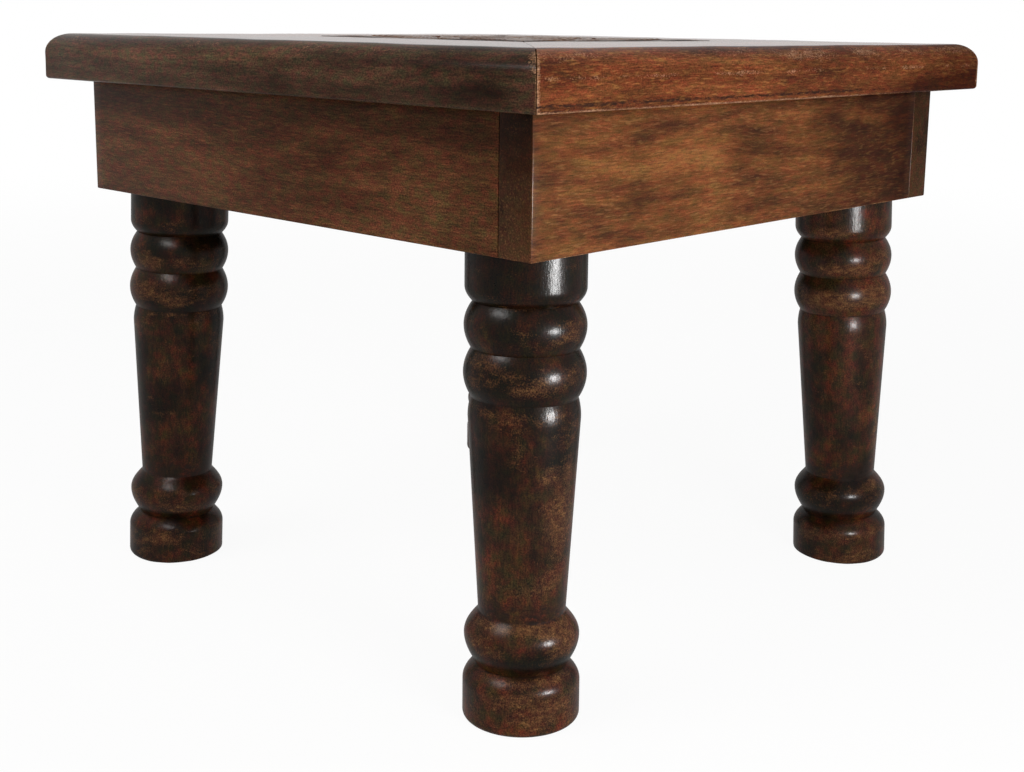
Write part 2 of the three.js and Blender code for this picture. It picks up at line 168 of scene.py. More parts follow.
def makeRoom(s, lamps):
    world = bpy.data.worlds.new("studio")
    scene.world = world
    add = emptied(world)
    dim = add("Background", {"Color": colour(s["ambientColour"]), "Strength": s["ambient"]})
    white = add("Background", {"Color": (1, 1, 1, 1), "Strength": 1})
    add("OutputWorld", {"Surface": add("MixShader", {0: whiteRays(add), 1: dim, 2: white})})

    mesh = bpy.data.meshes.new("floor")
    sides = s["floorSides"]
    turn = np.linspace(0, 2 * math.pi, sides, endpoint=False)
    radius, level = s["floorRadius"] * mm, -s["floorDrop"] * mm
    rim = np.stack([radius * np.cos(turn), radius * np.sin(turn), np.full(sides, level)], -1)
    mesh.from_pydata(rim.tolist(), [], [list(range(sides))])
    floor = addObject("floor", mesh)
    paper = bpy.data.materials.new("pale studio paper")  # matt, takes a soft shadow
    add = emptied(paper)
    place = add("TexCoord", output="Object")
    away = add("VectorMath", {0: place}, output="Value", operation="LENGTH")
    wash = add("MapRange", {
        "Value": away, "From Min": s["washFrom"], "From Max": s["washTo"],
        "To Min": s["washNear"], "To Max": 1.0,
    }, interpolation_type="SMOOTHSTEP")
    wash = add("Math", {0: wash, 1: whiteRays(add)}, operation="MULTIPLY")
    matt = add("BsdfDiffuse", {"Color": colour(s["floorColour"])})
    white = add("Emission", {"Color": (1, 1, 1, 1), "Strength": 1})
    add("OutputMaterial", {"Surface": add("MixShader", {0: wash, 1: matt, 2: white})})
    mesh.materials.append(paper)

    for name, (place, aim, size, power, gleams) in lamps.items():
        data = bpy.data.lights.new(name, "AREA")
        data.shape = "ELLIPSE"
        data.size, data.size_y = size
        data.energy = power
        made = addObject(name, data)
        made.matrix_world = aimed(place, aim)
        made.visible_glossy = gleams
        made.visible_diffuse = not gleams
        made.visible_camera = False


makeRoom(room, lamps)
print("room lit")


# Surfaces
def arc(centreX, centreY, radius, start, end, count):
    # points of an arc about a centre, from one angle to another in degrees
    angle = np.radians(np.linspace(start, end, count))
    return np.stack([centreX + radius * np.cos(angle), centreY + radius * np.sin(angle)], -1)


def run(start, end, count):
    # points strictly between two others, evenly spaced
    share = np.linspace(0, 1, count + 2)[1:-1, None]
    return np.array(start) * (1 - share) + np.array(end) * share


def bump(values, centre, width):
    # a bell of height 1 round a centre
    return np.exp(-((values - centre) / width) ** 2)


def fade(values, start, end, least=0):
    # 0 at start, 1 at end and a straight line between, never under the least value or over 1
    return np.clip((values - start) / (end - start), least, 1)


def wander(values, wavelengths, heights, seed):
    # slow unevenness along a length: sines of given wavelengths, each with its own start
    starts = np.random.default_rng(seed).uniform(0, 2 * math.pi, len(wavelengths))
    return sum(h * np.sin(2 * math.pi * values / w + s) for w, h, s in zip(wavelengths, heights, starts))


def turned(points, index):
    # points drawn as the front side's, turned a quarter turn for each side on
    x, y, z = points[..., 0], points[..., 1], points[..., 2]
    for _ in range(index):
        x, y = -y, x
    return np.stack([x, y, z], -1)


def tube(rows, columns):
    # faces of a grid of points that is rows long and columns round, closed over each end
    i, j = np.meshgrid(np.arange(rows - 1), np.arange(columns), indexing="ij")
    row, nextRow, after = i * columns, (i + 1) * columns, (j + 1) % columns
    quads = np.stack([row + j, row + after, nextRow + after, nextRow + j], -1)
    ends = [np.arange(columns)[::-1], (rows - 1) * columns + np.arange(columns)]
    return quads.reshape(-1, 4), ends


def roundedBar(low, high, radius, steps, stations):
    # a bar along X between two corners: a section with rounded corners, drawn in over each end by
    # radius * (1 - cos) while it goes out by radius * sin
    low, high = np.array(low, float), np.array(high, float)
    quarter = np.radians(np.linspace(0, 90, steps + 1))
    outSteps, inSteps = radius * np.sin(quarter), radius * (1 - np.cos(quarter))
    half = (high - low)[1:] / 2
    centre = (high + low)[1:] / 2
    inner = np.linspace(low[0] + radius, high[0] - radius, stations)
    x = np.concatenate([low[0] + radius - outSteps[::-1], inner[1:-1], high[0] - radius + outSteps])
    inset = np.concatenate([inSteps[::-1], np.zeros(stations - 2), inSteps])
    corners = [(1, 1, 0), (-1, 1, 90), (-1, -1, 180), (1, -1, 270)]
    ring = np.concatenate([
        arc(signX * (half[0] - radius), signY * (half[1] - radius), radius, start, start + 90, steps + 1)
        for signX, signY, start in corners
    ])
    shrink = 1 - inset[:, None, None] / half
    section = centre + ring * shrink
    points = np.concatenate([np.broadcast_to(x[:, None, None], (*section.shape[:2], 1)), section], -1)
    quads, ends = tube(len(x), len(ring))
    return points.reshape(-1, 3), quads, ends


# Meshes: a part is (points, quads, faces that close its ends, layers), all facing outward
def joined(parts):
    # several parts as one
    points, quads, ends, layers, start = [], [], [], {}, 0
    for partPoints, partQuads, partEnds, partLayers in parts:
        points.append(partPoints)
        quads.append(partQuads + start)
        ends += [end + start for end in partEnds]
        for key, values in partLayers.items():
            layers.setdefault(key, []).append(values)
        start += len(partPoints)
    return (np.concatenate(points), np.concatenate(quads), ends,
            {key: np.concatenate(values) for key, values in layers.items()})


def addLayers(mesh, layers):
    # a number or a vector for each point, which the materials read by name
    for key, values in layers.items():
        kind, field = ("FLOAT_VECTOR", "vector") if values.ndim == 2 else ("FLOAT", "value")
        mesh.attributes.new(key, kind, "POINT").data.foreach_set(field, values.astype(np.float32).ravel())


def placePiece(name, mesh, node):
    # an object that rides on the table and stands for its CAD node
    made = addObject(name, mesh)
    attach(made, "root")
    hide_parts(node)
    return made


def makePiece(name, parts, material, node, sharpAngle=34):
    points, quads, ends, layers = joined(parts)
    mesh = bpy.data.meshes.new(name)
    mesh.from_pydata((points * mm).tolist(), [], quads.tolist() + [end.tolist() for end in ends])
    addLayers(mesh, layers)
    mesh.shade_smooth()
    mesh.set_sharp_from_angle(angle=math.radians(sharpAngle))
    mesh.materials.append(material)
    placePiece(name, mesh, node)


# Wood
def woodMaterial(name, look):
    # Growth rings about a pith line and streaks that run along it, fibres, gold threads and open pores,
    # under stain and painted shade that the dark layer deepens, with the rubs of the wear layer, the dirt
    # and painted shade of the grime layer, and colours of their own for end grain and for a flat top kept
    # out of the painted shade
    material = bpy.data.materials.new(name)
    add = emptied(material)

    def vectors(operation, a, b):
        return add("VectorMath", {0: a, 1: b}, operation=operation)

    def noise(vector, kind, detail, roughness=0.6, output=0):
        # a noise at the rate that the look gives for its kind
        return add("TexNoise", {
            "Vector": vectors("MULTIPLY", vector, look[kind + "Rate"]), "Scale": 1.0,
            "Detail": detail, "Roughness": roughness,
        }, output)

    def ranged(value, low, high, toLow=0.0, toHigh=1.0):
        return add("MapRange", {
            "Value": value, "From Min": low, "From Max": high, "To Min": toLow, "To Max": toHigh,
        })

    def mixed(factor, a, b, blend="MIX"):
        return add("Mix", {0: factor, 6: a, 7: b}, 2, data_type="RGBA", blend_type=blend)

    def maths(operation, a, b, clamp=False):
        return add("Math", {0: a, 1: b}, operation=operation, use_clamp=clamp)

    def plus(total, value, factor):
        # total + value * factor
        return maths("ADD", total, maths("MULTIPLY", value, factor))

    def ramp(value, stops):
        return add("ValToRGB", {"Fac": value}, stops=stops)

    def overlaid(base, kind, value, colours="fibreColours"):
        return mixed(look[kind + "Depth"], base, ramp(value, look[colours]), "OVERLAY")

    def layer(key):
        return add("Attribute", output="Fac", attribute_name=key)

    def bumped(height, depth):
        return add("Bump", {"Height": height, "Strength": 1.0, "Distance": depth * mm})

    if look.get("offset"):
        place = vectors("ADD", add("TexCoord", output="Object"), look["offset"])
    else:
        place = add("Attribute", output="Vector", attribute_name="grainPlace")

    # the pith line wanders, which bends the rings and the streaks into figure
    sway = vectors("SUBTRACT", noise(place, "sway", 2, 0.5, "Color"), (0.5, 0.5, 0.5))
    swayed = vectors("ADD", place, vectors("MULTIPLY", sway, (0, look["sway"], look["sway"])))
    ringRadius = add("VectorMath", {0: vectors("MULTIPLY", swayed, (0, 1, 1))}, "Value", operation="LENGTH")
    ringPlace = add("CombineXYZ", {"X": add("SeparateXYZ", {0: place}, "X"), "Y": ringRadius})
    bands = noise(ringPlace, "band", 4, 0.62)
    streaks = noise(swayed, "streak", 5, 0.62)
    figure = add("Mix", {0: look["bandShare"], 2: streaks, 3: bands})

    fibres = noise(place, "fibre", 3)
    speckle = noise(place, "speckle", 2)
    threads = noise(swayed, "thread", 2)
    pores = ranged(noise(place, "pore", 1, 0.5), *look["poreRange"])
    blotches = noise(place, "blotch", 4)
    ragged = noise(place, "ragged", 4, 0.65)
    tints = noise(place, "tint", 3)
    patches = noise(place, "patch", 5, 0.65)

    figured = ramp(figure, look["bandColours"])
    # the flat top of the rails with painted shade takes the unshaded colours
    if look.get("unshadedTopColours"):
        figured = mixed(layer("top"), figured, ramp(figure, look["unshadedTopColours"]))
    base = mixed(layer("endGrain"), figured, ramp(blotches, look["endColours"]))
    toned = overlaid(overlaid(base, "fibre", fibres), "speckle", speckle)
    toned = overlaid(toned, "tint", tints, "tintColours")
    threaded = ranged(threads, *look["threadRange"], 0, look["threadDepth"])
    threaded = mixed(threaded, toned, colour(look["threadColour"]))
    porous = mixed(maths("MULTIPLY", pores, look["poreDepth"]), threaded, colour(look["poreColour"]))
    # the dark layer brings painted shade as well as stain, and the stain colour darkens both
    stainAndShade = maths("ADD", ranged(blotches, *look["blotchRange"]), layer("dark"), True)
    stained = mixed(stainAndShade, porous, colour(look["stainAndShade"]), "MULTIPLY")

    rub = plus(patches, layer("wear"), look["wearGain"])
    rub = ranged(plus(rub, maths("SUBTRACT", speckle, 0.5), look["rubBreak"]), *look["rubRange"])
    bared = overlaid(ramp(ragged, look["rubColours"]), "speckle", speckle)
    worn = mixed(rub, stained, bared)
    # dirt, and painted shade under the rails and along the groove round the panel
    grimeAndShadeMix = ranged(plus(ragged, layer("grime"), look["grimeAndShadeGain"]), *look["grimeAndShadeRange"])
    finished = mixed(grimeAndShadeMix, worn, colour(look["grimeAndShadeColour"]))

    rough = plus(blotches, rub, look["rubRoughness"])
    height = maths("SUBTRACT", maths("MULTIPLY", fibres, look["fibreHeight"]), pores)
    height = plus(height, blotches, look["unevenness"])
    film = maths("MULTIPLY", blotches, look["filmWaves"])
    film = plus(plus(film, speckle, look["filmGrain"]), fibres, look["filmFibre"])
    coat = look["coat"]
    if look["polish"]:
        coat = plus(coat, layer("polish"), look["polish"])
    shader = add("BsdfPrincipled", {
        "Base Color": finished,
        "Roughness": ranged(rough, *look["roughFrom"], *look["roughness"]),
        "Normal": bumped(height, look["relief"]),
        "IOR": 1.5,
        "Specular IOR Level": look["specular"],
        "Coat Weight": coat,
        "Coat Roughness": look["coatRoughness"],
        "Coat IOR": look["coatIOR"],
        "Coat Normal": bumped(film, look["coatRelief"]),
    })
    add("OutputMaterial", {"Surface": shader})
    return material


# Rates are in waves to the metre, along the grain and across it; depths are shares of the full effect.
# Sheesham board, planed, stained brown and lacquered: warm, smoky figure under a thin satin film
boardLook = {
    "swayRate": (6, 20, 20), "sway": 0.022,
    "bandRate": (6, 120, 0), "bandShare": 0.5, "streakRate": (13, 100, 100),
    "bandColours": [(0.34, "#4b2a1a"), (0.45, "#6d4228"), (0.54, "#8c5935"), (0.66, "#a8764a")],
    "fibreRate": (120, 1200, 1200), "fibreDepth": 0.6, "fibreHeight": 0.4,
    "fibreColours": [(0.32, "#4c4c4c"), (0.68, "#b8b0a0")],
    "speckleRate": (1000, 1500, 1500), "speckleDepth": 0.5,
    "tintRate": (110, 330, 330), "tintDepth": 0.8, "tintColours": [(0.36, "#b0c4aa"), (0.64, "#ceb3b2")],
    "threadRate": (130, 900, 900), "threadRange": (0.54, 0.70), "threadDepth": 0.2, "threadColour": "#bd8850",
    "poreRate": (160, 1500, 1500), "poreRange": (0.60, 0.70), "poreDepth": 0.4, "poreColour": "#22130b",
    "blotchRate": (14, 34, 34), "blotchRange": (0.44, 0.72, 0.0, 0.85), "stainAndShade": "#86705c",
    "raggedRate": (300, 800, 800),
    "endColours": [(0.36, "#3f2b20"), (0.64, "#7c5842")],
    "patchRate": (30, 60, 60), "wearGain": 0.55, "rubRange": (0.80, 1.02, 0.0, 0.85), "rubBreak": 0.2,
    "rubColours": [(0.35, "#7a4a2a"), (0.65, "#b98e62")],
    "grimeAndShadeGain": 0.75, "grimeAndShadeColour": "#22150e", "grimeAndShadeRange": (0.95, 1.15),
    "roughFrom": (0.3, 1.0), "roughness": (0.5, 0.7), "rubRoughness": 0.6,
    "relief": 0.05, "unevenness": 1.2, "specular": 0.0,
    "coat": 0.1, "polish": 0.32, "coatIOR": 1.3, "coatRoughness": 0.26, "coatRelief": 0.2,
    "filmWaves": 1.0, "filmGrain": 0.12, "filmFibre": 0.1,
}
# The boards of the other two sides: the same timber with painted shade, darker and redder, with quiet figure
shadedBoardLook = boardLook | {
    "bandColours": [(0.34, "#563627"), (0.46, "#6d4734"), (0.54, "#815841"), (0.66, "#946d51")],
    "blotchRange": (0.44, 0.72, 0.0, 0.45), "stainAndShade": "#917a67",
    "speckleDepth": 0.9, "threadDepth": 0.1,
    "tintRate": (190, 330, 330), "tintColours": [(0.36, "#a3c8aa"), (0.64, "#d6aeb6")],
}
# The rails of the top: a redder, straighter board, gold in its threads and rubbed pale, with more lacquer
railLook = boardLook | {
    "bandRate": (7, 150, 0), "streakRate": (9, 125, 125),
    "bandColours": [(0.34, "#693727"), (0.45, "#81482d"), (0.54, "#965738"), (0.66, "#ae7549")],
    "threadRate": (150, 950, 950), "threadDepth": 0.25, "threadColour": "#cc904a",
    "grimeAndShadeGain": 0.62, "grimeAndShadeColour": "#2c1910", "rubBreak": 0.5,
    "speckleDepth": 0.7, "rubColours": [(0.35, "#8a5a3a"), (0.65, "#c9a284")],
    "sway": 0.010, "coatIOR": 1.25, "coatRoughness": 0.22, "polish": 0.95,
}
# The other two rails: painted shade makes them grey-brown and dull on the edge, and the flat top,
# out of the painted shade, is warm again
shadedRailLook = railLook | {
    "bandColours": [(0.34, "#48352b"), (0.46, "#614c3f"), (0.54, "#765d4d"), (0.66, "#8b6d59")],
    "unshadedTopColours": [(0.34, "#603626"), (0.46, "#78462f"), (0.54, "#8c553a"), (0.66, "#a2704c")],
    "fibreDepth": 0.5, "speckleDepth": 0.9, "threadDepth": 0.08, "threadColour": "#8a5a3f",
    "tintRate": (180, 310, 310), "tintDepth": 0.9, "tintColours": [(0.36, "#a6c6b0"), (0.64, "#d8acb6")],
}
# Turned from the same timber and stained nearly black, rubbed back to red and gold on the crests
legLook = boardLook | {
    "bandRate": (45, 90, 0), "sway": 0.020, "streakRate": (75, 100, 100),
    "bandColours": [(0.34, "#33231c"), (0.46, "#4a3226"), (0.56, "#663e2a"), (0.68, "#845635")],
    "fibreRate": (320, 800, 800), "fibreDepth": 0.5,
    "speckleRate": (1500, 1500, 1500), "speckleDepth": 1.0,
    "tintRate": (150, 150, 150), "tintDepth": 1.0, "tintColours": [(0.36, "#9fcaa6"), (0.64, "#dcaab2")],
    "threadDepth": 0.1, "threadColour": "#8a5a30", "poreColour": "#110a07",
    "blotchRate": (38, 50, 50), "blotchRange": (0.34, 0.66, -0.55, 0.55), "stainAndShade": "#74807a",
    "raggedRate": (500, 260, 260),
    "patchRate": (120, 60, 60), "wearGain": 0.26, "rubRange": (0.66, 0.90, 0.0, 0.75), "rubBreak": 0.45,
    "rubColours": [(0.36, "#4c2e22"), (0.5, "#6b4730"), (0.68, "#906a45")],
    "grimeAndShadeGain": 0.56, "grimeAndShadeColour": "#1e130d",
    "relief": 0.04, "unevenness": 1.5, "specular": 0.012,
    "coat": 0.25, "polish": 0.0, "coatIOR": 1.38, "coatRoughness": 0.25, "coatRelief": 0.3,
    "filmWaves": 0.6, "filmGrain": 0.06, "filmFibre": 0.34,
}
# Carved from the same timber: dark in the ground, and rubbed to grey-brown on what stands proud
carvedLook = boardLook | {
    "bandColours": [(0.34, "#2e190f"), (0.46, "#4f2b19"), (0.56, "#683c24"), (0.68, "#85522f")],
    "wearGain": 0.5, "rubRange": (0.68, 0.98, 0.0, 0.8),
    "rubColours": [(0.35, "#6e4c38"), (0.65, "#a8866c")],
    "coat": 1.0, "polish": 0.0, "coatIOR": 1.27, "coatRoughness": 0.3,
}
# Planed softwood left bare where nobody looks: pale, dry and matt
bareLook = boardLook | {
    "bandColours": [(0.36, "#6d4f33"), (0.46, "#8b6a48"), (0.54, "#a07d57"), (0.64, "#b08e66")],
    "stainAndShade": "#a08c78", "poreColour": "#4a3523", "threadColour": "#b8946a", "fibreDepth": 0.4,
    "rubColours": [(0.35, "#9a7850"), (0.65, "#c4a074")], "grimeAndShadeColour": "#4a3728",
    "roughness": (0.7, 0.9), "relief": 0.12, "specular": 0.3, "coat": 0.0, "polish": 0.0,
}

boardWood = woodMaterial("sheesham board, stained and lacquered", boardLook)
shadedBoardWood = woodMaterial("sheesham board, painted in shade and lacquered", shadedBoardLook)
railWood = woodMaterial("sheesham rail, stained and lacquered", railLook)
shadedRailWood = woodMaterial("sheesham rail, painted in shade and lacquered", shadedRailLook)
legWood = woodMaterial("turned sheesham, dark stain and gloss lacquer", legLook)
carvedWood = woodMaterial("carved sheesham, stained and rubbed", carvedLook)
bareWood = woodMaterial("planed softwood, bare", bareLook)
# the CAD tongues have no layer for their grain, so theirs is placed by object coordinates, in metres
splineWood = woodMaterial("planed softwood, bare, on object coordinates", bareLook | {
    "offset": (0.05, 0.04, 0.03),
})

# Plain steel wire and screw stock, drawn and turned: grey with fine marks and a little tarnish
steelLook = {
    "markRate": 900, "tarnishRate": 160, "colours": [(0.4, "#9a9c9e"), (0.62, "#6c625a")],
    "roughness": (0.28, 0.55), "relief": 0.02,
}


def steelMaterial(name, look):
    material = bpy.data.materials.new(name)
    add = emptied(material)
    place = add("TexCoord", output="Object")
    marks = add("TexNoise", {"Vector": place, "Scale": look["markRate"], "Detail": 3.0})
    tarnish = add("TexNoise", {"Vector": place, "Scale": look["tarnishRate"], "Detail": 4.0})
    smooth, coarse = look["roughness"]
    shader = add("BsdfPrincipled", {
        "Base Color": add("ValToRGB", {"Fac": tarnish}, stops=look["colours"]),
        "Metallic": 1.0,
        "Roughness": add("MapRange", {"Value": marks, "To Min": smooth, "To Max": coarse}),
        "Normal": add("Bump", {"Height": marks, "Strength": 1.0, "Distance": look["relief"] * mm}),
    })
    add("OutputMaterial", {"Surface": shader})
    return material


steel = steelMaterial("plain steel, drawn", steelLook)
print("materials made")


# Top frame: rails with a large round above and a small one below
rail = {
    "halfSpan": 200, "width": 115, "thickness": 27, "level": 296.2,
    "nosing": 11.5, "lowerArris": 1.8, "innerArris": 1, "mitreGap": 0.4, "mitreArris": 0.5,
    "grooveRise": 9, "grooveHeight": 8.6, "grooveDepth": 9,
    "stations": 100, "mitreSteps": 4, "unevenness": 0.14,
    "pith": (16.5, 26), "grainStep": 600,  # the pith line is below the underside and outside the edge
    # level and width of the bands along the face that are rubbed or dirty
    "arrisRub": (0.2, 1.1), "faceRub": (14.5, 2.2), "dustLine": (3.2, 1.5),
    # the finish of the front and back rails, then of the left and right ones; the stain and foot entries
    # are painted shade, deeper towards the right end and at the foot of the face
    "finishes": [
        {"handled": 1, "mitreRub": 3.4, "cornerRub": 0, "faceWear": 0.56, "crestWear": 0.56,
         "polish": 0.35, "leastPolish": 0,
         "stainAndShade": 0.5, "shadeRange": (60, 260), "foot": 0.9, "footShadeRange": (20, 140)},
        {"handled": 0.25, "mitreRub": 1.0, "cornerRub": 0.8, "faceWear": 0.2, "crestWear": 0.35,
         "polish": 0.5, "leastPolish": 0.5,
         "stainAndShade": 0.1, "shadeRange": (-40, 160), "foot": 0.2, "footShadeRange": (-60, 60)},
    ],
}


def railSection(s):
    # closed outline of a rail: u runs in from its outer edge, v up from its underside
    width, thickness, nosing, arris, inner = (
        s[key] for key in ("width", "thickness", "nosing", "lowerArris", "innerArris"))
    grooveFoot, grooveTop = s["grooveRise"], s["grooveRise"] + s["grooveHeight"]
    grooveFloor = width - s["grooveDepth"]
    return np.concatenate([
        arc(arris, arris, arris, 180, 270, 7),
        run((arris, 0), (width, 0), 12),
        [(width, 0), (width, grooveFoot), (grooveFloor, grooveFoot),
         (grooveFloor, grooveTop), (width, grooveTop)],
        arc(width - inner, thickness - inner, inner, 0, 90, 5),
        run((width - inner, thickness), (nosing, thickness), 16),
        arc(nosing, thickness - nosing, nosing, 90, 180, 17),
        run((0, thickness - nosing), (0, arris), 24),
    ])


def outward(section):
    # unit normals of a closed outline that runs anticlockwise
    tangent = np.roll(section, -1, 0) - np.roll(section, 1, 0)
    normal = np.stack([tangent[:, 1], -tangent[:, 0]], -1)
    return normal / np.linalg.norm(normal, axis=1, keepdims=True)


def makeRail(s, index):
    finish = s["finishes"][index % 2]
    thickness, nosing = s["thickness"], s["nosing"]
    section = railSection(s)
    # each end is drawn in round its arris; stations at sin(t) stand close at the ends, where the wear is
    quarter = np.radians(np.linspace(0, 90, s["mitreSteps"]))
    endOut, endIn = s["mitreArris"] * (1 - np.sin(quarter)), s["mitreArris"] * (1 - np.cos(quarter))
    end = np.ones(len(quarter))
    spread = np.sin(np.linspace(-math.pi / 2, math.pi / 2, s["stations"]))[1:-1]
    full = np.zeros(len(spread))
    share = np.concatenate([-end, spread, end])[:, None]
    out = np.concatenate([endOut[::-1], full, endOut])[:, None]
    inset = np.concatenate([endIn[::-1], full, endIn])[:, None, None]
    drawn = section - outward(section) * inset
    u, v = drawn[..., 0], drawn[..., 1]
    reach = s["halfSpan"] - u - s["mitreGap"] / math.sqrt(2) - s["mitreArris"]
    x = np.where(np.abs(share) < 1, share * reach, np.sign(share) * (reach + s["mitreArris"] - out))
    # the outer edge is planed by hand, a little unevenly
    uneven = wander(x, (37, 61, 140), (0.4, 0.6, 1.0), 10 + index) * s["unevenness"] - 2 * s["unevenness"]
    rounded = fade(v, 4, 12) * fade(u, 40, 0)
    u = u - uneven * rounded * fade(v, thickness, 0)
    v = v + uneven * rounded * fade(v, 0, thickness) * 0.8
    points = np.stack([x, u - s["halfSpan"], v + s["level"]], -1)

    nearEnd = s["halfSpan"] - u - np.abs(x)
    outer, face, flat = fade(u, 20, 0), u < 4, v > thickness - 2
    wear = np.maximum.reduce([
        # the lower arris, less of it to the right
        finish["handled"] * bump(v, *s["arrisRub"]) * face * fade(x, 240, 20, 0.4),
        # the edges of the mitres, and a wider rub at their upper ends
        bump(nearEnd, 0, finish["mitreRub"]) * outer,
        finish["cornerRub"] * bump(nearEnd, 0, 7) * outer * fade(v, 6, 18),
        # the middle of the face and the crest of the round
        finish["faceWear"] * bump(v, *s["faceRub"]) * (u < 3),
        finish["crestWear"] * bump(u, 0, 14) * bump(v, thickness - 3, 6),
    ])
    dust = finish["handled"] * fade(x, 240, 40, 0.5) * bump(v, *s["dustLine"]) * face
    # painted shade on the inner edge, in the reveal of the groove
    revealShade = fade(u, s["width"] - 3, s["width"]) * (v < thickness - 0.5)
    sheen = finish["polish"] * fade(x, 170, -170, finish["leastPolish"])
    # painted shade, deeper towards the right end, and at the foot of the face near there
    dark = finish["stainAndShade"] * fade(x, *finish["shadeRange"])
    dark = dark + finish["foot"] * fade(x, *finish["footShadeRange"]) * fade(v, 13, 5)
    layers = {
        "wear": wear,
        "grime": np.maximum(dust, revealShade),
        "polish": np.maximum(fade(u, nosing - 3, nosing + 1) * flat, sheen),
        "dark": dark,
        # the flat top, which the rails with painted shade keep in their unshaded colours
        "top": fade(u, nosing, nosing + 12) * flat,
    }
    layers = {key: values.ravel() for key, values in layers.items()}
    grain = np.stack([x + s["grainStep"] * index, v + s["pith"][0], u + s["pith"][1]], -1) * mm
    layers["grainPlace"] = grain.reshape(-1, 3)
    part = (turned(points, index).reshape(-1, 3), *tube(len(share), len(section)), layers)
    # the left and right rails take the copy with painted shade
    wood = (railWood, shadedRailWood)[index % 2]
    makePiece("topRail_" + sideNames[index], [part], wood, "top_rail_" + sideNames[index])


for index in range(4):
    makeRail(rail, index)
print("top rails made")


# Apron: four planed boards, each out to the corner at its left end and stopped by the next at its right
apron = {
    "halfSpan": 180, "thickness": 20, "height": 66, "level": 230.1, "glueLine": 0.1,
    "arris": 0.7, "arrisSteps": 3, "stations": 40,
    # the pith line is above the foot of the board and outside its face
    "pith": (-19, 62), "grainStep": 700, "grainFrom": 150,
    # the finish of the front and back boards, then of the left and right ones; the stain entries are
    # painted shade, deeper up under the rail, towards the right end and on the end grain
    "finishes": [
        {"wear": 1, "seamDirt": 0, "leastPolish": 0, "endMatt": 0.6, "stainAndShade": 0.95, "endShade": 0.9},
        {"wear": 0.1, "seamDirt": 0.8, "leastPolish": 0.4, "endMatt": 0.95, "stainAndShade": 0.3, "endShade": 0.2},
    ],
}


def makeApron(s, index):
    finish = s["finishes"][index % 2]
    low = (-s["halfSpan"], -s["halfSpan"], s["level"])
    high = (s["halfSpan"] - s["thickness"] - s["glueLine"], s["thickness"] - s["halfSpan"],
            s["level"] + s["height"])
    points, quads, ends = roundedBar(low, high, s["arris"], s["arrisSteps"], s["stations"])
    x, y, z = points.T
    corner, outer, foot = x - low[0], y - low[1], z - low[2]
    seam, head = high[0] - x, high[2] - z
    wear = np.maximum.reduce([
        0.6 * bump(corner, 0, 0.6) * fade(foot, 52, 32, 0.3),
        bump(foot, 0, 0.6),
        0.7 * bump(seam, 0, 0.6),
    ])
    endGrain = fade(np.minimum(corner, seam), 0.3, 0)
    # painted shade, deeper towards the right end and up under the rail
    stainAndShade = finish["stainAndShade"] * fade(x, 20, 160) * fade(foot, 12, 54, 0.1)
    grain = [x + s["grainStep"] * index + s["grainFrom"], foot + s["pith"][0], outer + s["pith"][1]]
    layers = {
        "grainPlace": np.stack(grain, -1) * mm,
        "wear": wear * bump(outer, 0, 0.9) * finish["wear"],
        # painted shade along the top of the board under the rail, and dirt in the seam
        "grime": np.maximum.reduce([
            0.55 * fade(head, 9, 0), 0.3 * bump(head, 0, 20), finish["seamDirt"] * bump(seam, 0, 0.5),
        ]),
        "endGrain": endGrain,
        # painted shade, and more of it on the end grain towards the top
        "dark": np.maximum(stainAndShade, finish["endShade"] * endGrain * fade(foot, 12, 52)),
        "polish": fade(x, 170, -170, finish["leastPolish"]) * (1 - finish["endMatt"] * endGrain),
    }
    part = (turned(points, index), quads, ends, layers)
    # the left and right boards take the copy with painted shade
    wood = (boardWood, shadedBoardWood)[index % 2]
    makePiece("apronBoard_" + sideNames[index], [part], wood, "apron_" + sideNames[index])


for index in range(4):
    makeApron(apron, index)
print("apron made")


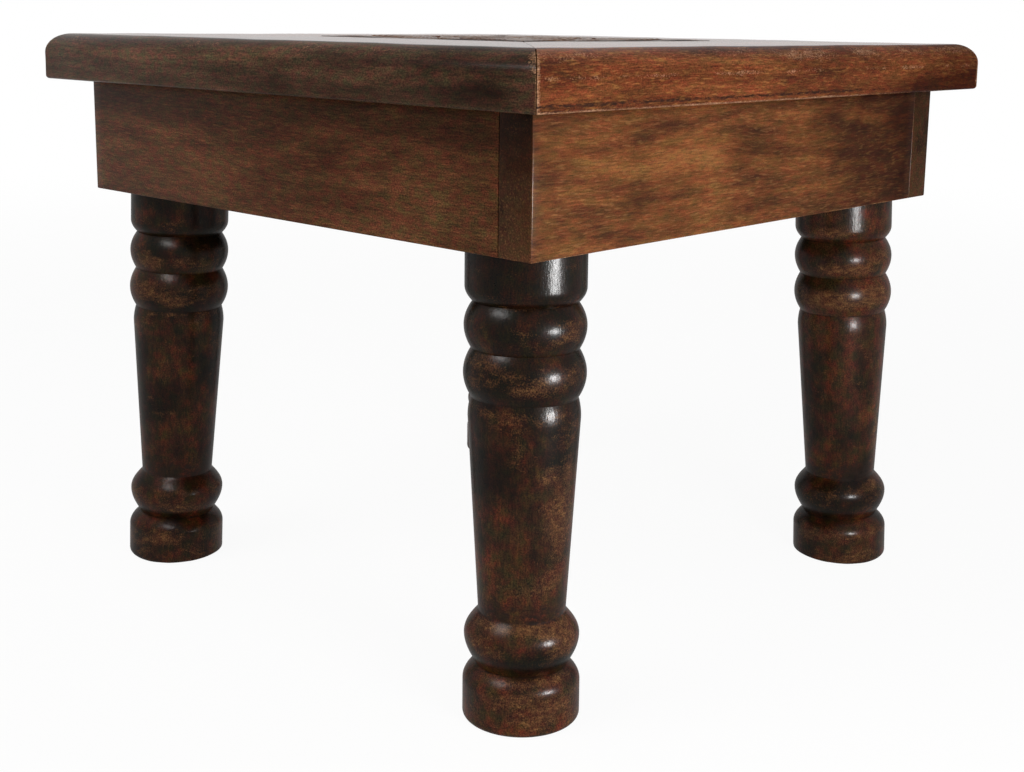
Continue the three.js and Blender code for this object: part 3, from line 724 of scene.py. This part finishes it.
# Turned legs, from the floor up
leg = {
    "axis": -144.4, "height": 230, "splay": 1.6, "trim": 1.185,
    "headTop": 296.1, "headHalf": 30, "headRebate": 15.5, "headArris": 0.8, "headSteps": 3, "headStations": 8,
    "headLayers": {"wear": 0.2, "grime": 0.3, "dark": 0.8},
    "foot": 26.4, "footRadius": 28.75, "footArris": 2.8, "footShoulder": 9, "soleFrom": 6,
    "ankleGroove": 22.6, "ankleBead": 26.4, "ankleRadius": 28.2, "ankleCrest": 0.55, "ankleSwell": 1.25,
    "shaft": 95.8, "shaftFoot": 21.4, "shaftTop": 27.2, "shoulder": 9.6, "neckGroove": 25.8,
    "lowerBead": 23.3, "lowerRadius": 29.55, "middleGroove": 25.9,
    "upperBead": 22.4, "upperRadius": 29.4, "collarGroove": 25.3,
    "collarRadius": 29.15, "collarRound": 7.4,
    "facets": 112, "outOfRound": 0.12, "grooveDirt": 0.18, "pith": (9, 31), "grainStep": 500,
    # how dark the stain still is, and how far the crests are rubbed, at levels up the leg
    "stainLevels": (0, 26, 34, 44, 60, 90, 130, 180, 230),
    "stains": {
        "front_left": (-0.25, 0.3, 1.1, -0.05, -0.25, 0.35, 1.1, 1.1, 1.2),
        "front_right": (0.5, 0.6, 0.9, 0.75, 0.45, 0.3, 0.3, -0.1, 0.45),
        "back_right": (0.5, 0.5, 0.65, 0.5, 0.5, 0.55, 0.6, 0.6, 0.8),
        "back_left": (0.65, 0.6, 0.75, 0.55, 0.6, 0.65, 0.7, 0.75, 0.8),
    },
    "rubLevels": (0, 60, 150, 160, 180, 185, 205, 230),
    "rubs": (0.6, 0.6, 0.5, 0.6, 0.6, 0.4, 0.3, 0.15),
    # spots rubbed through the stain: level, direction from +X in degrees, height, width in degrees, and
    # strength, which is below 0 where the stain is left whole
    "spots": {
        "front_left": [
            (50, 222, 2.4, 80, 1.3), (49, 258, 3, 24, 1.0), (44, 178, 5, 18, 0.9), (44, 276, 6, 18, 1.0),
            (18, 212, 2.5, 24, 0.9), (24.5, 235, 1.5, 60, 1.1), (8, 240, 6, 20, 0.6), (13, 274, 8, 22, 0.7),
            (41, 262, 6, 22, 0.6), (72, 225, 14, 60, 0.4), (104, 272, 26, 22, 1.4), (104, 205, 22, 30, -1.0),
            (64, 266, 14, 18, 0.5), (178, 170, 4, 16, 0.8), (167, 236, 4, 20, 0.45), (172, 262, 5, 16, 0.6),
            (171, 206, 4, 18, 0.55), (193, 270, 5, 14, 0.9), (155, 184, 4, 14, 0.6), (153, 206, 3, 14, 0.7),
            (181.5, 225, 1.2, 60, 0.7), (204, 235, 1.2, 60, 0.7), (133, 218, 8, 12, 0.5),
            (125, 250, 7, 8, 0.8),
        ],
        "front_right": [
            (211, 200, 4, 28, 1.5), (188, 208, 4, 40, 1.5), (170, 222, 4, 44, 1.6), (193, 258, 6, 14, 0.9),
            (168, 190, 4, 26, 1.6), (172, 256, 6, 18, 1.5), (50, 262, 3, 18, 0.9), (18, 236, 2.5, 40, 0.9),
            (15, 160, 4, 16, 0.9), (85, 278, 26, 12, 1.2), (159, 215, 1.6, 50, 0.6), (6, 225, 5, 30, 0.6),
        ],
        "back_right": [(170, 225, 5, 40, 0.7), (38, 225, 5, 40, 0.7)],
        "back_left": [
            (188, 195, 6, 18, 1.0), (190, 245, 3, 20, 0.7), (171, 193, 6, 16, 1.0), (166, 242, 4, 22, 0.8),
            (157, 240, 1.6, 50, 0.9), (36, 232, 4, 30, 1.0), (16, 230, 3, 36, 0.6), (212, 230, 4, 18, 0.4),
        ],
    },
}


# A profile's points are (radius, level, fullness), with fullness 0 in a groove and 1 on a crest. The
# curves run between two (level, radius) places.
def beadCurve(start, end, crestRadius, count, crestShare=0.5, swell=1):
    # radius = groove + (crest - groove) * (1 - u * u) ** swell, with u from -1 at one groove to 1 at the next
    (startLevel, startRadius), (endLevel, endRadius) = start, end
    u = np.linspace(-1, 1, count)
    crestLevel = startLevel + (endLevel - startLevel) * crestShare
    level = crestLevel + np.where(u < 0, crestLevel - startLevel, endLevel - crestLevel) * u
    groove = np.where(u < 0, startRadius, endRadius)
    fullness = (1 - u * u) ** swell
    return np.stack([groove + (crestRadius - groove) * fullness, level, fullness], -1)


def shoulderCurve(start, end, count):
    # half a bead, from a full radius down to a groove or up from one
    (startLevel, startRadius), (endLevel, endRadius) = start, end
    share = np.linspace(0, 1, count)
    u = 1 - share if endRadius > startRadius else share
    groove, full = sorted((startRadius, endRadius))
    fullness = 1 - u * u
    level = startLevel + (endLevel - startLevel) * share
    return np.stack([groove + (full - groove) * fullness, level, fullness], -1)


def straight(start, end, count, startFull=0.5, endFull=0.5):
    share = np.linspace(0, 1, count)[:, None]
    first, last = np.array([start[1], start[0], startFull]), np.array([end[1], end[0], endFull])
    return first + (last - first) * share


def legProfile(s):
    # up the leg's axis, from the middle of the sole to the top of the collar
    arrisFoot = (-s["trim"], s["footRadius"] - s["footArris"])
    arrisTop = (s["footArris"] - s["trim"], s["footRadius"])
    arris = arc(arrisFoot[1], arrisTop[0], s["footArris"], -90, 0, 8)
    footTop = (s["foot"] - s["footShoulder"], s["footRadius"])
    ankleGroove = (s["foot"], s["ankleGroove"])
    shaftFoot = (s["foot"] + s["ankleBead"], s["shaftFoot"])
    shaftTop = (shaftFoot[0] + s["shaft"], s["shaftTop"])
    neckGroove = (shaftTop[0] + s["shoulder"], s["neckGroove"])
    middleGroove = (neckGroove[0] + s["lowerBead"], s["middleGroove"])
    collarGroove = (middleGroove[0] + s["upperBead"], s["collarGroove"])
    collarFoot = (collarGroove[0] + s["collarRound"], s["collarRadius"])
    collarTop = (s["height"] + s["trim"], s["collarRadius"])
    return np.concatenate([
        straight((-s["trim"], s["soleFrom"]), arrisFoot, 4)[:-1],
        np.column_stack([arris, np.full(len(arris), 0.8)]),
        straight(arrisTop, footTop, 12, 0.8, 0.9)[1:],
        shoulderCurve(footTop, ankleGroove, 16)[1:],
        beadCurve(ankleGroove, shaftFoot, s["ankleRadius"], 36, s["ankleCrest"], s["ankleSwell"])[1:],
        straight(shaftFoot, shaftTop, 50, 0.0, 0.75)[1:],
        shoulderCurve(shaftTop, neckGroove, 12)[1:],
        beadCurve(neckGroove, middleGroove, s["lowerRadius"], 32)[1:],
        beadCurve(middleGroove, collarGroove, s["upperRadius"], 32)[1:],
        shoulderCurve(collarGroove, collarFoot, 16)[1:],
        straight(collarFoot, collarTop, 10, 0.9, 0.5)[1:],
    ])


def leaned(points, s):
    # points round an upright axis, swung about the top of the collar so that the foot goes out to -X
    # and -Y (Rodrigues' rotation from straight down to the leaning axis), then trimmed level
    lean = math.tan(math.radians(s["splay"]))
    down = np.array([-lean, -lean, -1]) / math.hypot(lean, lean, 1)
    a, b, c = np.cross([0, 0, -1], down)
    skew = np.array([[0, -c, b], [c, 0, -a], [-b, a, 0]])
    swing = np.eye(3) + skew + skew @ skew / (1 - down[2])
    swung = (points - [0, 0, s["height"]]) @ swing.T + [0, 0, s["height"]]
    return np.column_stack([swung[:, :2], np.clip(swung[:, 2], 0, s["height"])])


def makeLeg(s, index):
    name = cornerNames[index]
    middle = np.array([s["axis"], s["axis"], 0])

    def grainOf(upright):
        return (upright[:, [2, 0, 1]] + [s["grainStep"] * index, *s["pith"]]) * mm

    profile = legProfile(s)
    radius, level, fullness = (profile[:, None, k] for k in range(3))
    angle = np.linspace(0, 2 * math.pi, s["facets"], endpoint=False)[None, :]
    phase = 30 + index
    uneven = s["outOfRound"] * (np.sin(2 * angle + phase) + 0.6 * np.sin(3 * angle + level / 40 + phase)) / 2
    uneven = uneven * fade(radius, 6, 26) * fade(level, 0, 3) - s["outOfRound"] / 2
    r = radius + np.where(radius > 20, uneven, 0)
    z = np.broadcast_to(level, r.shape)
    upright = np.stack([r * np.cos(angle), r * np.sin(angle), z], -1).reshape(-1, 3)
    wear = fullness * np.interp(z, s["rubLevels"], s["rubs"])
    for spotLevel, direction, tall, wide, strength in s["spots"][name]:
        aside = (np.degrees(angle) + 90 * index - direction + 180) % 360 - 180
        wear = wear + strength * bump(z, spotLevel, tall) * bump(aside, 0, wide)
    layers = {
        "grainPlace": grainOf(upright),
        "wear": wear.ravel(),
        "grime": np.broadcast_to(bump(fullness, 0, s["grooveDirt"]), r.shape).ravel(),
        "dark": np.interp(z, s["stainLevels"], s["stains"][name]).ravel(),
    }
    turning = (turned(leaned(upright, s) + middle, index), *tube(*r.shape), layers)

    low = (s["axis"] - s["headRebate"], s["axis"] - s["headRebate"], s["height"])
    high = (s["axis"] + s["headHalf"], s["axis"] + s["headHalf"], s["headTop"])
    points, quads, ends = roundedBar(low, high, s["headArris"], s["headSteps"], s["headStations"])
    layers = {key: np.full(len(points), value) for key, value in s["headLayers"].items()}
    layers["grainPlace"] = grainOf(points - middle)
    head = (turned(points, index), quads, ends, layers)
    makePiece("turnedLeg_" + name, [turning, head], legWood, "leg_" + name, 30)


for index in range(4):
    makeLeg(leg, index)
print("legs made")


# Carved panel: a relief worked out as a height over the ground at every point of a square grid
panel = {
    "half": 83.4, "tongueHalf": 93, "ground": 321.7, "bottom": 300.2, "tongueBottom": 305.5,
    "tongueTop": 313.5, "grid": 285, "grainFrom": (90, -301.7, 33),
    "border": 6, "borderRise": 1.9, "borderSlope": 1.2, "edgeRound": 0.8, "edgeDrop": 0.6,
    "ring": 47, "ringWidth": 5.5, "ringRise": 2.4, "ringTwists": 44, "ropeDepth": 0.18, "ropeSlant": 0.55,
    "boss": 9, "bossRise": 3.1, "bossCuts": 12, "bossCutDepth": 0.1,
    # leaves: how far the base is from the middle, length, width, rise and spacing of the side veins
    "petals": 8, "petal": (9.8, -30.9, 19, 2.9, 3.4), "shortPetal": (19, 21, 10, 1.595, 3),
    "spray": (47.8, 42, 17, 2.6, 4.2), "sideLeaf": (47.8, 31, 12, 2.3, 3.6), "sideTurn": 52,
    "bud": (47.8, 19, 11, 2.3, 3),
    "taper": 0.34, "point": 0.42, "crownPower": 2.6, "midrib": 0.55, "veinDepth": 0.13, "veinSlant": 0.9,
    "punch": 2.3, "punchDepth": 0.35,
}


def leafHeight(x, y, s, base, turn, length, width, rise, veins):
    # a leaf from a base point: an egg outline of half width w(t), a crown that is
    # rise * sqrt(1 - (|b| / w) ** power), a sunk midrib and side veins; a length below 0 turns the leaf
    # back and slants its veins the other way
    c, d = math.cos(turn), math.sin(turn)
    a = (x - base[0]) * c + (y - base[1]) * d
    b = (y - base[1]) * c - (x - base[0]) * d
    t = 2 * a / length - 1
    inside = np.clip(1 - t * t, 0, 1)
    w = np.sqrt(inside) * (1 - s["taper"] * t) * (1 - s["point"] * t * t) * width / 2 + 1e-6
    across = np.clip(np.abs(b) / w, 0, 1)
    crown = rise * np.sqrt(1 - across ** s["crownPower"]) * np.sqrt(fade(inside, 0, 0.25))
    midrib = s["midrib"] * bump(b, 0, s["midrib"]) * np.clip(inside * 3, 0, 1)
    slant = np.sin((a - np.abs(b) * s["veinSlant"]) * 2 * math.pi / veins)
    sideVeins = s["veinDepth"] * (1 + slant) * (across < 0.85) * (inside > 0.2)
    return np.where(inside > 0, crown - midrib - sideVeins, 0)


def reliefHeight(x, y, s):
    # the height over the ground, and the same without the pits, the unevenness and the rounded edge
    radius, angle = np.hypot(x, y), np.arctan2(y, x)
    ringMiddle = s["ring"] - s["ringWidth"] / 2
    across = np.clip(np.abs(radius - ringMiddle) / (s["ringWidth"] / 2), 0, 1)
    twist = np.abs(np.cos(angle * s["ringTwists"] / 2 + (radius - ringMiddle) * s["ropeSlant"]))
    rope = 1 - s["ropeDepth"] + s["ropeDepth"] * twist
    dome = np.clip(1 - (radius / s["boss"]) ** 2, 0, 1)
    cuts = 1 - s["bossCutDepth"] + s["bossCutDepth"] * np.cos(angle * s["bossCuts"]) * fade(radius, 0, 5)
    edge = s["half"] - np.maximum(np.abs(x), np.abs(y))
    slope = fade(edge, s["border"], s["border"] - s["borderSlope"])
    heights = [
        s["ringRise"] * np.sqrt(1 - across ** 2) * rope,
        s["bossRise"] * np.sqrt(dome) * cuts,
        s["borderRise"] * np.sin(slope * math.pi / 2),
    ]

    def addLeaf(turn, shape, lean=0.0):
        away, *sizes = shape
        base = (away * math.cos(turn), away * math.sin(turn))
        heights.append(leafHeight(x, y, s, base, turn + lean, *sizes))

    for k in range(s["petals"]):
        turn = 2 * math.pi * k / s["petals"]
        addLeaf(turn, s["petal"], math.pi)
        addLeaf(turn + math.pi / s["petals"], s["shortPetal"])
    for k in range(4):
        addLeaf(math.pi / 2 * k, s["bud"])
        turn = math.pi / 4 + math.pi / 2 * k
        addLeaf(turn, s["spray"])
        for side in (-1, 1):
            addLeaf(turn, s["sideLeaf"], side * math.radians(s["sideTurn"]))
    carved = np.maximum.reduce(heights)

    # the ground is punched: a pit at each crossing of a slightly bent net
    net = 2 * math.pi / s["punch"]
    bentX, bentY = x + 0.5 * np.sin(y / 7), y + 0.5 * np.sin(x / 6)
    pits = s["punchDepth"] * np.clip(np.sin(bentX * net) * np.sin(bentY * net), 0, 1) ** 1.5
    height = np.where(carved > 0.15, carved, carved - pits)
    height = height + wander(x + 0.4 * y, (43, 71), (0.10, 0.12), 5)
    height = height + wander(y - 0.3 * x, (39, 83), (0.08, 0.12), 6)
    return height - s["edgeDrop"] * fade(edge, s["edgeRound"], 0) ** 2, carved


def makePanel(s):
    n, half, tongue = s["grid"], s["half"], s["tongueHalf"]
    line = np.linspace(-half, half, n)
    x, y = np.meshgrid(line, line, indexing="ij")
    height, carved = reliefHeight(x, y, s)
    top = np.stack([x, y, s["ground"] + height], -1).reshape(-1, 3)
    i, j = np.meshgrid(np.arange(n - 1), np.arange(n - 1), indexing="ij")
    first = i * n + j
    quads = [np.stack([first, first + n, first + n + 1, first + 1], -1).reshape(-1, 4)]
    # the edge of the grid, anticlockwise, is carried down round the tongue to the underside
    k = np.arange(n - 1)
    loop = np.concatenate([k * n, (n - 1) * n + k, (n - 1 - k) * n + n - 1, n - 1 - k])
    rim = top[loop, :2] / half
    stages = [(half, s["tongueTop"]), (tongue, s["tongueTop"]), (tongue, s["tongueBottom"]),
              (half, s["tongueBottom"]), (half, s["bottom"])]
    rings = [np.column_stack([rim * reach, np.full(len(loop), level)]) for reach, level in stages]
    points = np.concatenate([top, *rings])
    hidden = len(loop) * len(stages)
    rows = [loop, *(n * n + np.arange(hidden).reshape(len(stages), -1))]
    for upper, lower in zip(rows[:-1], rows[1:]):
        quads.append(np.stack([upper, lower, np.roll(lower, -1), np.roll(upper, -1)], -1))
    # the crests are rubbed, dirt lies on the ground, and painted shade lies along the open groove
    edge = half - np.maximum(np.abs(x), np.abs(y))
    wear = fade(carved, 0, 2.6) * fade(edge, 0, 1.5)
    grime = 0.8 * np.maximum(fade(carved, 0.5, 0), fade(edge, 1.6, 0.6))
    layers = {
        "grainPlace": (points[:, [0, 2, 1]] + s["grainFrom"]) * mm,
        "wear": np.concatenate([wear.ravel(), np.zeros(hidden)]),
        "grime": np.concatenate([grime.ravel(), np.full(hidden, 0.5)]),
    }
    part = (points, np.concatenate(quads), [rows[-1][::-1]], layers)
    makePiece("carvedPanel", [part], carvedWood, "carved_panel", 50)


makePanel(panel)
print("panel carved")


# Cleats: the CAD strips with their screw holes, with softened edges
cleat = {
    "bevel": 0.8, "bevelSteps": 2, "bevelFrom": 60, "pith": (-250, 210), "grainStep": 400,
    "layers": {"wear": 0.2, "grime": 0.1},
}


def makeCleat(s, index):
    node = "cleat_" + sideNames[index]
    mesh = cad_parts[node].data.copy()
    work = bmesh.new()
    work.from_mesh(mesh)
    bmesh.ops.remove_doubles(work, verts=work.verts, dist=1e-6)
    bmesh.ops.dissolve_limit(work, angle_limit=math.radians(1), verts=work.verts, edges=work.edges)
    work.to_mesh(mesh)
    work.free()
    points = np.zeros(len(mesh.vertices) * 3, np.float32)
    mesh.vertices.foreach_get("co", points)
    local = turned(points.reshape(-1, 3), (4 - index) % 4)
    layers = {key: np.full(len(local), value) for key, value in s["layers"].items()}
    layers["grainPlace"] = local[:, [0, 2, 1]] + np.array([s["grainStep"] * index, *s["pith"]]) * mm
    addLayers(mesh, layers)
    mesh.materials.clear()
    mesh.materials.append(bareWood)
    made = placePiece("topCleat_" + sideNames[index], mesh, node)
    bevel = made.modifiers.new("softened edges", "BEVEL")
    bevel.width = s["bevel"] * mm
    bevel.segments = s["bevelSteps"]
    bevel.limit_method = "ANGLE"
    bevel.angle_limit = math.radians(s["bevelFrom"])


for index in range(4):
    makeCleat(cleat, index)
print("cleats made")


# Screws: countersunk, with a slot across the head and a thread
screw = {
    "head": 4, "headHeight": 2.6, "shank": 2, "length": 30, "point": 5, "pitch": 1.6, "threadDepth": 0.5,
    "slotHalf": 0.55, "slotDepth": 1.1, "slotSoft": 0.12,
    "facets": 40, "headRings": 22, "threadRings": 80, "tipRings": 14,
}


def makeScrew(s, sideName, number):
    # rings of points from the middle of the head out to its rim and down the thread, whose radius is
    # shank - depth * wave(angle + level / pitch)
    label = "_%s_%d" % (sideName, number)
    low, high = (np.array(corner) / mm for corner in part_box("cleat_screw" + label))
    centre = (low + high) / 2
    tipFrom = s["length"] - s["point"]
    headRadii = np.linspace(0.3, s["head"] - 0.15, s["headRings"])
    threadLevels = np.linspace(s["headHeight"] + 0.5, tipFrom, s["threadRings"])
    tipLevels = np.linspace(tipFrom, s["length"] - 0.2, s["tipRings"])[1:]
    tipRadii = s["shank"] * (s["length"] - tipLevels) / s["point"] + 0.1
    threadRadii = np.full(len(threadLevels), s["shank"])
    radius = np.concatenate([headRadii, [s["head"], s["shank"]], threadRadii, tipRadii])[:, None]
    level = np.concatenate([0 * headRadii, [0.2, s["headHeight"]], threadLevels, tipLevels])[:, None]
    angle = np.linspace(0, 2 * math.pi, s["facets"], endpoint=False)[None, :]
    wave = 0.5 - 0.5 * np.cos(angle - 2 * math.pi * level / s["pitch"])
    r = np.where(level > s["headHeight"], np.maximum(radius - s["threadDepth"] * wave, 0.05), radius)
    slotTurn = 0.9 * number + 0.7 * len(sideName)
    across = np.abs(r * np.sin(angle - slotTurn))
    slot = s["slotDepth"] * fade(across, s["slotHalf"] + s["slotSoft"], s["slotHalf"] - s["slotSoft"])
    z = np.where(level < 0.1, slot, level)
    points = np.stack([centre[0] + r * np.cos(angle), centre[1] + r * np.sin(angle), low[2] + z], -1)
    part = (points.reshape(-1, 3), *tube(*r.shape), {})
    makePiece("cleatScrew" + label, [part], steel, "cleat_screw" + label, 30)


for sideName in sideNames:
    for number in (1, 2):
        makeScrew(screw, sideName, number)
print("screws made")


# CAD nodes that stay: nails and mitre tongues, with a finish for each
for name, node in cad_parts.items():
    if "nail" in name or "spline" in name:
        node.data.materials.clear()
        node.data.materials.append(steel if "nail" in name else splineWood)
